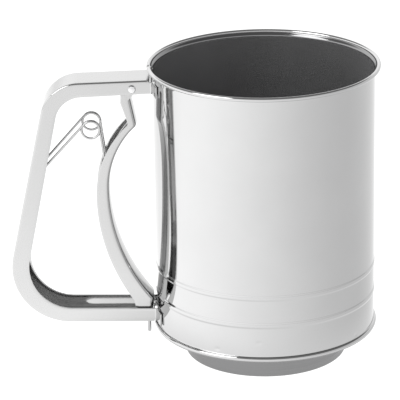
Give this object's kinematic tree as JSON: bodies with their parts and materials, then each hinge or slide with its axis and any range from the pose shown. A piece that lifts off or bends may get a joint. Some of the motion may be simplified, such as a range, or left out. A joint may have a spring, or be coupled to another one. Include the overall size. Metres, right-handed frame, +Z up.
{
  "type": "squeeze flour sifter",
  "caption": "Polished steel can with a sieve in its base, a bent sheet handle and a sprung squeeze trigger that turns a stirrer over the screen.",
  "frame": {"origin": "centre of the bounding box, on the plane that the sifter stands on", "axes": "+Z up along the can's axis, -X toward the handle, in the handle's plane"},
  "size_m": [0.1742, 0.1088, 0.1423],
  "materials": {
    "polished_steel": "mirror polished",
    "brushed_steel": "brushed",
    "formed_steel": "bright rolled sheet",
    "mesh_steel": "woven wire",
    "wire_steel": "drawn wire"
  },
  "bodies": {
    "can": {"can_body": "polished_steel", "rim_wire": "wire_steel", "base_pan": "brushed_steel", "sieve_screen": "mesh_steel", "screen_ring": "formed_steel", "pivot_bridge": "formed_steel", "pivot_pin": "brushed_steel", "lower_washer": "brushed_steel", "upper_washer": "brushed_steel", "agitator_spacer": "brushed_steel", "top_washer": "brushed_steel", "handle": "formed_steel", "trigger_pivot": "brushed_steel", "trigger_spring": "wire_steel"},
    "trigger": {"trigger": "formed_steel"},
    "rod": {"drive_rod": "wire_steel", "rod_clip": "brushed_steel"},
    "agitator": {"agitator_star": "formed_steel", "agitator_blade_1": "formed_steel", "agitator_blade_2": "formed_steel", "agitator_blade_3": "formed_steel", "agitator_blade_4": "formed_steel", "agitator_blade_5": "formed_steel", "agitator_blade_6": "formed_steel"}
  },
  "joints": [
    {"name": "trigger_squeeze", "type": "hinge", "parent": "can", "child": "trigger", "pos_m": [-0.02852, 0, 0.133], "axis": [0, 1, 0], "range_deg": [0, 10], "stiffness_Nm_per_rad": 1.5, "springref_deg": -9.57, "deforming": ["trigger_spring"]},
    {"name": "rod_slide", "type": "slide", "parent": "can", "child": "rod", "axis": [-1, 0, 0], "range_m": [0, 0.0198]},
    {"name": "agitator_turn", "type": "hinge", "parent": "can", "child": "agitator", "pos_m": [0.03268, 0, 0.0226], "axis": [0, 0, 1], "range_deg": [0, 60.5]}
  ],
  "couplings": [
    {"joint": "rod_slide", "follows": "trigger_squeeze", "m_per_rad": 0.1127},
    {"joint": "agitator_turn", "follows": "trigger_squeeze", "ratio": 6}
  ]
}
